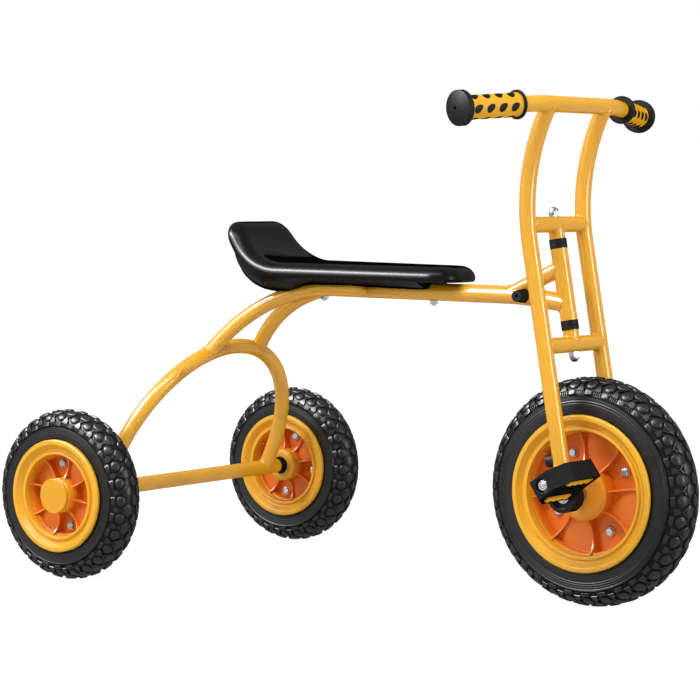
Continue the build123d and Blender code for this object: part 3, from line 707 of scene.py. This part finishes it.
def pad_outline(length, width, count=20):
    """Teardrop, blunt at one end and drawn out at the other: points along and across."""
    points = []
    for i in range(count):
        t = 2 * pi * i / count
        along = length / 2 * cos(t)
        across = width / 2 * sin(t) * (1 - 0.28 * cos(t))
        points.append((along, across))
    return points


outline = pad_outline(16.5, 11.0)
for name, side in SIDES:
    along = (BAR_END[side] - BAR_BEND[side]).normalized()
    start = BAR_BEND[side] + along * ((GRIP_START_Y - BAR_BEND_Y) / abs(along.y))
    across_a = (Vector((0, 0, 1)) - along * along.z).normalized()
    across_b = along.cross(across_a)
    length = GRIP_REACH / abs(along.y)

    def on_grip(down, turn, lift):
        """Point of the grip: how far down it from start, turn about it, lift above its surface."""
        return start + along * down + (across_a * cos(turn) + across_b * sin(turn)) * (GRIP_R + lift)

    build = Build()
    for row in range(PAD_ROWS):
        base_turn = side * (2 * pi * row / PAD_ROWS + PAD_TURN)
        for step in range(PADS_IN_ROW):
            middle = length * (PAD_FIRST + step * PAD_STEP)
            points = []
            for share, lift in PAD_RINGS:
                for a, b in outline:
                    p = share * (a * cos(PAD_TILT) - b * sin(PAD_TILT))
                    q = share * (a * sin(PAD_TILT) + b * cos(PAD_TILT)) * -side
                    points.append(on_grip(middle - p, base_turn + q / GRIP_R, lift))
            points.append(on_grip(middle, base_turn, PAD_TOP))
            n = len(outline)
            faces = []
            for ring in range(3):
                a, b = ring * n, (ring + 1) * n
                faces += [(a + i, a + (i + 1) % n, b + (i + 1) % n, b + i) for i in range(n)]
            faces += [(3 * n + i, 3 * n + (i + 1) % n, 4 * n) for i in range(n)]
            build.add([FORK @ (p * MM) for p in points], faces)
    build.make(f"grip_pads_{name}", "steering", rubber)


# Seat: shell with a quarter-round side, bent up behind, over a smooth bowl. Millimetres; s runs along the
# seat from the start of the bend, forwards.
BEND_AHEAD = 225.0
BEND_X = REAR_X + BEND_AHEAD
BEND_R = 86.0
SEAT_T = 20.0
SEAT_TOP = 466.0
BEND_Z = SEAT_TOP + BEND_R
MID_R = BEND_R + SEAT_T / 2
OUTER_R = BEND_R + SEAT_T
LIP_S = -radians(73.6) * MID_R
NOSE_S = 283.0
LIP_HALF = 68.0
SEAT_HALF = 82.0
NOSE_HALF = 48.0
SIDE_REACH = 22.0
SIDE_DROP = 18.0
SIDE_STEPS = 9
FOOT_REACH = 4.0
FOOT_DROP = 5.0
FOOT_STEPS = 6
DISH = 1.6
DISH_FADE = 60.0
COLUMNS = 18


def seat_point(s, y, h):
    """Point of the seat from its length, width and height over the middle of the slab, in metres."""
    if s >= 0:
        return Vector((BEND_X + s, y, SEAT_TOP - SEAT_T / 2 + h)) * MM
    a = -s / MID_R
    return Vector((BEND_X - (MID_R - h) * sin(a), y, BEND_Z - (MID_R - h) * cos(a))) * MM


def rounded_path(corners, straight_step=9.0, arc_step=5.0):
    """Path of straights and arcs from corners (along, across, radius), as points with outward normals."""
    spots = [Vector(corner[:2]) for corner in corners]
    ways = [(b - a).normalized() for a, b in zip(spots, spots[1:])]
    setbacks = [0.0]
    for k in range(1, len(corners) - 1):
        u, v = ways[k - 1], ways[k]
        if u.angle(v) < 0.3:
            setbacks.append(corners[k][2] * u.angle(v) / 2)
        else:
            setbacks.append(corners[k][2] * sqrt((1 - u.dot(v)) / (1 + u.dot(v))))
    setbacks.append(0.0)
    path = []
    for i, way in enumerate(ways):
        normal = Vector((-way.y, way.x))
        first = spots[i] + way * setbacks[i]
        last = spots[i + 1] - way * setbacks[i + 1]
        pieces = max(1, ceil((last - first).length / straight_step))
        path += [(first + (last - first) * j / pieces, normal) for j in range(pieces + 1)]
        if i + 1 < len(ways):
            turn = way.angle(ways[i + 1])
            r = corners[i + 1][2]
            centre = last - normal * r
            pieces = max(2, ceil(r * turn / arc_step))
            for j in range(1, pieces):
                t = turn * j / pieces
                n = normal * cos(t) + way * sin(t)
                path.append((centre + n * r, n))
    return path


# Rows of the top, each as wide as the half outline less the side's reach
half_path = rounded_path(
    [
        (LIP_S, 0, 0),
        (LIP_S, LIP_HALF, 32.0),
        (-32.0, SEAT_HALF, 160.0),
        (NOSE_S, NOSE_HALF, 38.0),
        (NOSE_S, 0, 0),
    ]
)
turned = [i for i, (spot, normal) in enumerate(half_path) if abs(normal.x) < 0.9999]
rows = half_path[turned[0] - 1 : turned[-1] + 2]
build = Build()
top = []
for spot, normal in rows:
    inner = spot - normal * SIDE_REACH
    ahead, behind = (NOSE_S - inner.x) / DISH_FADE, (inner.x - LIP_S) / DISH_FADE
    for j in range(COLUMNS + 1):
        share = 1 - 2 * j / COLUMNS
        dish = DISH * (1 - share**2) * min(1.0, behind) * min(1.0, ahead)
        top.append((inner.x, inner.y * share, max(dish, 0.0)))
width = COLUMNS + 1
last_row = (len(rows) - 1) * width
# Once round the top's edge: the vertex and the way outwards
loop = [(i * width, (normal.x, normal.y)) for i, (spot, normal) in enumerate(rows)]
loop += [(last_row + j, (1.0, 0.0)) for j in range(1, COLUMNS)]
loop += [(i * width + COLUMNS, (rows[i][1].x, -rows[i][1].y)) for i in reversed(range(len(rows)))]
loop += [(j, (-1.0, 0.0)) for j in reversed(range(1, COLUMNS))]
points = [seat_point(s_here, y, SEAT_T / 2 - dish) for s_here, y, dish in top]
faces = [
    (i * width + j, i * width + j + 1, (i + 1) * width + j + 1, (i + 1) * width + j)
    for i in range(len(rows) - 1)
    for j in range(COLUMNS)
]
side_rings = []
for k in range(1, SIDE_STEPS + 1):
    t = pi / 2 * k / SIDE_STEPS
    side_rings.append((SIDE_REACH * sin(t), SEAT_T / 2 - SIDE_DROP * (1 - cos(t))))
for k in range(1, FOOT_STEPS + 1):
    t = pi / 2 * k / FOOT_STEPS
    side_rings.append((SIDE_REACH - FOOT_REACH * (1 - cos(t)), SEAT_T / 2 - SIDE_DROP - FOOT_DROP * sin(t)))
n = len(loop)
before = [index for index, normal in loop]
for reach, height in side_rings:
    ring = list(range(len(points), len(points) + n))
    for index, (nx, ny) in loop:
        s_here, y, dish = top[index]
        points.append(seat_point(s_here + nx * reach, y + ny * reach, height))
    faces += [(before[k], before[(k + 1) % n], ring[(k + 1) % n], ring[k]) for k in range(n)]
    before = ring
under = len(points)
points += [seat_point(s_here, y, -SEAT_T / 2) for s_here, y, dish in top]
for k in range(n):
    after = (k + 1) % n
    faces.append((before[k], before[after], under + loop[after][0], under + loop[k][0]))
for i in range(len(rows) - 1):
    a, b = under + i * width, under + (i + 1) * width
    faces += [(a + j, b + j, b + j + 1, a + j + 1) for j in range(COLUMNS)]
build.add(points, faces)
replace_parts(build.make("seat_skin", "frame", seat, sharp=70), "seat_shell")

# Bottom of the bowl: distance in front of the rear axle, height
KEEL = (
    (131.0, 486.0), (134.0, 463.0), (141.0, 443.0), (154.0, 428.0), (176.0, 420.0), (203.0, 419.0),
    (222.0, 420.0), (237.0, 425.0), (255.0, 430.0), (300.0, 431.0), (380.0, 431.0), (446.0, 431.0),
    (452.0, 438.0), (457.0, 445.6),
)
KEEL_PIECES = 3
BOWL_STEPS = 14
BOWL_INSET = 6.0
BOWL_TAIL = 128.0
BOWL_TOP = 496.0
BOWL_OVERLAP = 0.6


def seat_half(x):
    """Half the width of the seat at a place along the tricycle."""
    return SEAT_HALF - (SEAT_HALF - NOSE_HALF) * max(x - BEND_X, 0.0) / NOSE_S


def under_seat(x):
    """Height of the underside of the seat at a place along the tricycle."""
    if x >= BEND_X:
        return SEAT_TOP - SEAT_T
    return BEND_Z - sqrt(OUTER_R**2 - (BEND_X - x) ** 2)


def keel_point(k, t):
    """Point of the keel a share t of the way from its mark k to the next, on a smooth curve."""
    before, a, b, after = KEEL[max(k - 1, 0)], KEEL[k], KEEL[k + 1], KEEL[min(k + 2, len(KEEL) - 1)]
    point = []
    for c in range(2):
        step = b[c] - a[c]
        leave, arrive = (b[c] - before[c]) / 2 - step, (after[c] - a[c]) / 2 - step
        point.append(a[c] + step * t + t * (1 - t) * ((1 - t) * leave - t * arrive))
    return point


def ramp_share(value, start, length):
    """0 up to start, 1 from start + length on, and straight between them."""
    return min(1.0, max(0.0, (value - start) / length))


build = Build()
keel = [keel_point(k, j / KEEL_PIECES) for k in range(len(KEEL) - 1) for j in range(KEEL_PIECES)]
keel.append(KEEL[-1])
points = []
for ahead, z_low in keel:
    x = REAR_X + ahead
    z_top = min(under_seat(x) + BOWL_OVERLAP, BOWL_TOP)
    # Narrow at the tail, then round, then squarer with sides that draw in downwards
    half = (seat_half(x) - BOWL_INSET) * (0.78 + 0.22 * sqrt(ramp_share(ahead, BOWL_TAIL, 60.0)))
    low = min(z_low, z_top - 0.2)
    power = 2.0 / (2.3 + 1.2 * ramp_share(ahead, 205.0, 60.0))
    narrow = 0.42 * ramp_share(ahead, 195.0, 70.0)
    for j in range(BOWL_STEPS + 1):
        t = pi * j / BOWL_STEPS
        deep = sin(t) ** power
        y = half * abs(cos(t)) ** power * (1 if cos(t) >= 0 else -1) * (1 - narrow * deep)
        points.append(Vector((x, y, z_top - (z_top - low) * deep)) * MM)
n = BOWL_STEPS + 1
faces = [
    (i * n + j, i * n + j + 1, (i + 1) * n + j + 1, (i + 1) * n + j)
    for i in range(len(keel) - 1)
    for j in range(BOWL_STEPS)
]
faces += [(i * n + BOWL_STEPS, i * n, (i + 1) * n, (i + 1) * n + BOWL_STEPS) for i in range(len(keel) - 1)]
faces.append(tuple(reversed(range(n))))
faces.append(tuple(range((len(keel) - 1) * n, len(keel) * n)))
build.add(points, faces)
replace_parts(build.make("seat_bowl", "frame", seat, sharp=50), "seat_base")


# Welds. A ray looks for the other tube over WELD_REACH, in metres. Where it misses, it looks again at a
# smaller share of the radius. A bead with less than the least share found is left out.
WELD_REACH = 0.09
WELD_SECOND_TRY = 0.93
WELD_LEAST = 0.6
# Radii of the beads, in millimetres, just inside the tubes' own
STUB_WELD_R = 10.6
LEG_WELD_R = 10.6
BACKBONE_WELD_R = 11.4
BRANCH_WELD_R = 10.8
GUSSET_WELD_R = 10.9
HOOP_WELD_R = 10.9
# Where the rays for the crosspieces start, to each side of the middle
CROSS_START_Y = 45.0


def surface_of(*names):
    """The joined surface of CAD nodes, to cast rays at."""
    points, faces = [], []
    for node_name in names:
        mesh = nodes[node_name].data
        start = len(points)
        points += [v.co.copy() for v in mesh.vertices]
        faces += [tuple(start + i for i in face.vertices) for face in mesh.polygons]
    return BVHTree.FromPolygons(points, faces)


def weld(build, start, way, radius, target, bead, count=72):
    """Bead, in millimetres, round a tube of this radius that runs from start along way into the target."""
    way = Vector(way).normalized()
    x = way.orthogonal().normalized()
    y = way.cross(x)
    path = []
    for i in range(count):
        t = 2 * pi * i / count
        out = x * cos(t) + y * sin(t)
        hit = target.ray_cast(start + out * radius, way, WELD_REACH)[0]
        if hit is None:
            hit = target.ray_cast(start + out * radius * WELD_SECOND_TRY, way, WELD_REACH)[0]
        path.append((hit, out) if hit is not None else None)
    if sum(p is not None for p in path) < count * WELD_LEAST:
        print("weld left out at", start)
        return
    for i in range(count):
        around = (path[(i + k) % count] or path[i - k] for k in range(count))
        path[i] = next(p for p in around if p)
    bead_round(build, path, bead)


def bead_round(build, path, bead):
    """Rippled bead along a closed path of points, each with its outward way."""
    count = len(path)
    points, faces = [], []
    sides = 8
    for i, (spot, out) in enumerate(path):
        before, after = path[i - 1][0], path[(i + 1) % count][0]
        tangent = (after - before).normalized()
        u = (out - tangent * out.dot(tangent)).normalized()
        v = tangent.cross(u)
        size = bead * MM * (1 + 0.10 * sin(i * 2 * pi / 3) + 0.06 * sin(i * 1.7))
        for k in range(sides):
            a = 2 * pi * k / sides
            points.append(spot + u * size * cos(a) * 0.9 + v * size * sin(a) * 0.9)
    for i in range(count):
        a, b = i * sides, (i + 1) % count * sides
        faces += [(a + k, a + (k + 1) % sides, b + (k + 1) % sides, b + k) for k in range(sides)]
    build.add(points, faces)


def saddle_path(r, beam_r, s, rise, count=72):
    """Path round a stub of radius r, where it stands on a level beam whose axis is at height s."""
    path = []
    for i in range(count):
        t = 2 * pi * i / count
        z = s + rise * sqrt(beam_r**2 - (r * cos(t)) ** 2)
        out = FORK.to_3x3() @ Vector((cos(t), sin(t), 0))
        path.append((fork_mm(r * cos(t), r * sin(t), z), out))
    return path


steering_welds = Build()
legs = surface_of("fork_leg_right", "fork_leg_left")
turn_fork = FORK.to_3x3()
for height in CROSS_HEIGHTS:
    for name, side in SIDES:
        start = fork_mm(0, side * CROSS_START_Y, height)
        weld(steering_welds, start, turn_fork @ Vector((0, side, 0)), CROSS_R * MM, legs, bead=1.9)
for height, rise in zip(CROSS_HEIGHTS, (1, -1)):
    bead_round(steering_welds, saddle_path(STUB_WELD_R, CROSS_R, height, rise), bead=1.5)
bar = surface_of("handlebar")
for name, side in SIDES:
    tip = fork_mm(BAR_FORWARD, side * LEG_Y, BAR_HEIGHT)
    below = fork_mm(LEG_TOP[0], side * LEG_Y, LEG_TOP[1])
    weld(steering_welds, below, tip - below, LEG_WELD_R * MM, bar, bead=1.8)
steering_welds.make("steering_welds", "steering", paint, sharp=60)

frame_welds = Build()
head = surface_of("head_tube")
spine = surface_of("backbone_tube")
hoop = surface_of("rear_hoop")
axle_tube = surface_of("rear_axle_tube")
spine_top = fork_mm(0, 0, BACKBONE_HEAD)
spine_way = Vector((0.05, 0, 0.0055))
weld(frame_welds, spine_top - spine_way, spine_way, BACKBONE_WELD_R * MM, head, bead=1.9)
gusset_top = fork_mm(0, 0, GUSSET_HEAD)
gusset_foot = Vector(((REAR_X + GUSSET_FOOT) * MM, 0, BACKBONE_Z * MM))
gusset_way = (gusset_top - gusset_foot).normalized()
weld(frame_welds, gusset_top - gusset_way * 0.04, gusset_way, GUSSET_WELD_R * MM, head, bead=1.8)
weld(frame_welds, gusset_top - gusset_way * 0.03, -gusset_way, GUSSET_WELD_R * MM, spine, bead=1.8)
AXLE_Z = REAR["right"].z / MM
TIP_TAPER = ((11.2, -1.0), (11.0, 3.0), (9.8, 9.0), (7.2, 15.0), (3.6, 19.5), (0.6, 21.0))
down = Vector((-sin(HOOP_TILT), 0, -cos(HOOP_TILT)))
for name, side in SIDES:
    foot_y = side * BRANCH_FOOT_Y
    up_hoop = HOOP_LIFT + sqrt(HOOP_R**2 - foot_y**2)
    foot = Vector((REAR_X - up_hoop * down.x, foot_y, AXLE_Z - up_hoop * down.z)) * MM
    level = Vector((REAR_X + BRANCH_TOP_X, side * BRANCH_TOP_Y, BACKBONE_Z)) * MM
    run = level.x - foot.x
    drop = Vector((0, foot.y - level.y, foot.z - level.z))
    bend_r = (run**2 + drop.length**2) / (2 * drop.length)
    half_turn = atan2(run, bend_r - drop.length)
    back_way = Vector((-cos(half_turn), 0, 0)) + drop.normalized() * sin(half_turn)
    # The branch tube bends down to its foot, so the rays start a little beside its end's straight line
    start = foot - back_way * 0.045 - drop.normalized() * 0.0016
    weld(frame_welds, start, back_way, BRANCH_WELD_R * MM, hoop, bead=2.0)
    # Tapered front end of the branch tube, which runs out beside the backbone
    tip = Vector((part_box(f"branch_tube_{name}")[1].x, level.y, level.z))
    frame_welds.lathe(millimetres(TIP_TAPER), frame_at(tip, (1, 0, 0)), 32)
    end = Vector((REAR_X, side * HOOP_R, AXLE_Z)) * MM
    weld(frame_welds, end - down * 0.04, down, HOOP_WELD_R * MM, axle_tube, bead=2.0)
frame_welds.make("frame_welds", "frame", paint, sharp=60)


# Floor, world and lights
def any_ray(tree, *kinds):
    """1 for these kinds of ray, 0 for the others."""
    rays = tree.nodes.new("ShaderNodeLightPath")
    result = rays.outputs[kinds[0]]
    for kind in kinds[1:]:
        either = tree.nodes.new("ShaderNodeMath")
        either.operation = "MAXIMUM"
        tree.links.new(result, either.inputs[0])
        tree.links.new(rays.outputs[kind], either.inputs[1])
        result = either.outputs[0]
    return result


bpy.ops.mesh.primitive_plane_add(size=40, location=(0, 0, 0))
floor = bpy.context.object
floor.name = "floor"
floor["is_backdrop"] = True
stage = Nodes("floor")
stage.tree.nodes.remove(stage.shader)
output = next(n for n in stage.tree.nodes if n.type == "OUTPUT_MATERIAL")
plain = stage.add("ShaderNodeBsdfDiffuse")
plain.inputs["Color"].default_value = (0.62, 0.62, 0.62, 1)
glow = stage.add("ShaderNodeEmission")
glow.inputs["Color"].default_value = (1, 1, 1, 1)
glow.inputs["Strength"].default_value = 1.55
mixed = stage.add("ShaderNodeMixShader")
mixed.inputs["Fac"].default_value = 0.60
stage.tree.links.new(plain.outputs[0], mixed.inputs[1])
stage.tree.links.new(glow.outputs[0], mixed.inputs[2])
final = stage.add("ShaderNodeMixShader")
stage.tree.links.new(any_ray(stage.tree, "Is Camera Ray", "Is Glossy Ray"), final.inputs["Fac"])
stage.tree.links.new(plain.outputs[0], final.inputs[1])
stage.tree.links.new(mixed.outputs[0], final.inputs[2])
stage.tree.links.new(final.outputs[0], output.inputs["Surface"])
floor.data.materials.append(stage.material)

world = bpy.data.worlds.new("studio")
bpy.context.scene.world = world
world.use_nodes = True
tree = world.node_tree
background = tree.nodes["Background"]
level = tree.nodes.new("ShaderNodeMapRange")
seen = any_ray(tree, "Is Camera Ray", "Is Glossy Ray", "Is Transmission Ray")
tree.links.new(seen, level.inputs["Value"])
level.inputs["To Min"].default_value = 0.34
level.inputs["To Max"].default_value = 1.0
tree.links.new(level.outputs["Result"], background.inputs["Strength"])
background.inputs["Color"].default_value = (1, 1, 1, 1)


def lamp(name, place, target, size, size_y, power, sheen_only=False):
    """Area lamp, in metres and watts. One for the sheen alone is seen in glossy surfaces only."""
    data = bpy.data.lights.new(name, "AREA")
    data.shape = "RECTANGLE"
    data.size, data.size_y = size, size_y
    data.energy = power
    made = bpy.data.objects.new(name, data)
    bpy.context.scene.collection.objects.link(made)
    made.location = place
    made.rotation_euler = (Vector(target) - Vector(place)).to_track_quat("-Z", "Y").to_euler()
    made.visible_diffuse = not sheen_only


lamp("overhead_box", (0.3, -1.5, 2.7), target=(0, 0, 0.3), size=2.4, size_y=0.4, power=66)
lamp("front_strip", (3.1, 0.15, 0.9), target=(0.2, 0, 0.4), size=0.13, size_y=2.2, power=36)
lamp("left_box", (-1.6, -2.8, 1.7), target=(0, 0, 0.2), size=0.8, size_y=0.8, power=38)
lamp("left_sheen", (-1.7, -1.9, 2.4), target=(0, 0, 0.4), size=2.3, size_y=0.55, power=600, sheen_only=True)
lamp("front_sheen", (3.1, 0.15, 0.9), target=(0.2, 0, 0.4), size=0.10, size_y=2.0, power=60, sheen_only=True)

bpy.context.scene.view_settings.view_transform = "Standard"
low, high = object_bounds()
